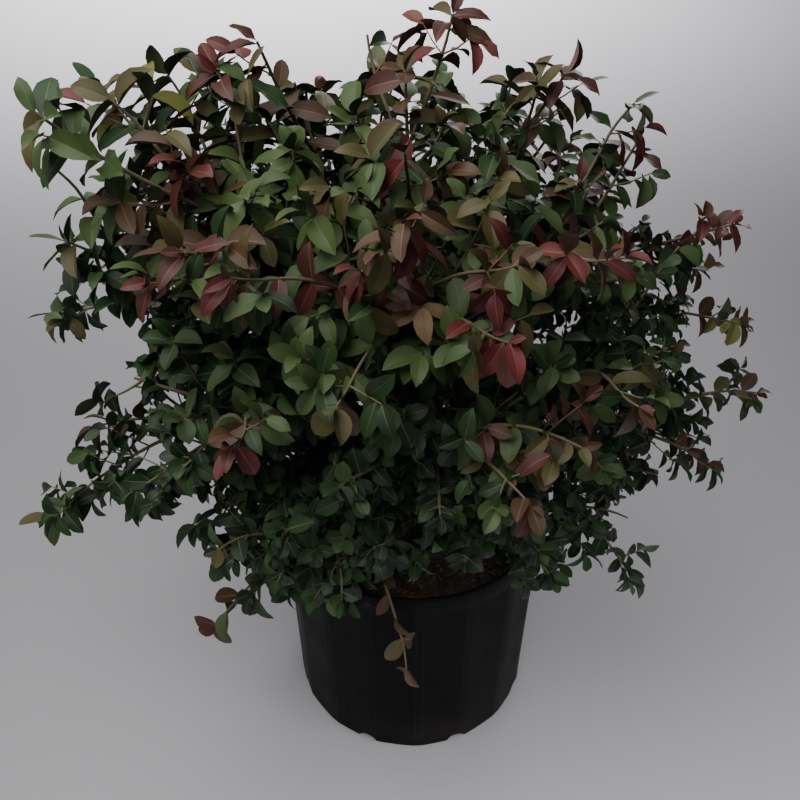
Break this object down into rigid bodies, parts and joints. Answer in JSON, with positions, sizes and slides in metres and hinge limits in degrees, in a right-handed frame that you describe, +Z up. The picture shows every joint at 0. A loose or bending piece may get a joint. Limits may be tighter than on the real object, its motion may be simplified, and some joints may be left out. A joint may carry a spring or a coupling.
{
  "type": "potted burning bush",
  "caption": "Leafy garden shrub with autumn-tinted leaves in pairs on thin arching twigs, standing in a round black nursery pot filled with potting mix.",
  "frame": {"origin": "middle of the pot's flat underside", "axes": "+Z up along the pot's axis; the picture's viewer looks along +Y with +X to the right"},
  "size_m": [0.7416, 0.6142, 0.7954],
  "materials": {
    "pot": "black moulded plastic, satin, lightly scuffed",
    "potting_mix": "dark moist bark-based growing mix, rough",
    "bark": "grey-brown bark with corky ridges, greener on the twigs",
    "foliage": "satin leaves, deep green turning bronze and rose red"
  },
  "bodies": {
    "root": {"pot": "pot", "potting_mix": "potting_mix", "main_stem": "bark", "bough_middle_1": "bark", "bough_middle_2": "bark", "bough_middle_3": "bark", "bough_middle_4": "bark", "bough_middle_5": "bark", "bough_middle_6": "bark", "bough_middle_7": "bark", "bough_upper_1": "bark", "bough_upper_2": "bark", "bough_upper_3": "bark", "bough_upper_4": "bark", "bough_upper_5": "bark", "bough_top": "bark", "bough_lower_1": "bark", "bough_lower_2": "bark", "bough_lower_3": "bark", "bough_lower_4": "bark", "bough_lower_5": "bark", "bough_lower_6": "bark", "foliage_middle_1": "foliage", "foliage_middle_2": "foliage", "foliage_middle_3": "foliage", "foliage_middle_4": "foliage", "foliage_middle_5": "foliage", "foliage_middle_6": "foliage", "foliage_middle_7": "foliage", "foliage_upper_1": "foliage", "foliage_upper_2": "foliage", "foliage_upper_3": "foliage", "foliage_upper_4": "foliage", "foliage_upper_5": "foliage", "foliage_top": "foliage", "foliage_lower_1": "foliage", "foliage_lower_2": "foliage", "foliage_lower_3": "foliage", "foliage_lower_4": "foliage", "foliage_lower_5": "foliage", "foliage_lower_6": "foliage"}
  },
  "joints": []
}
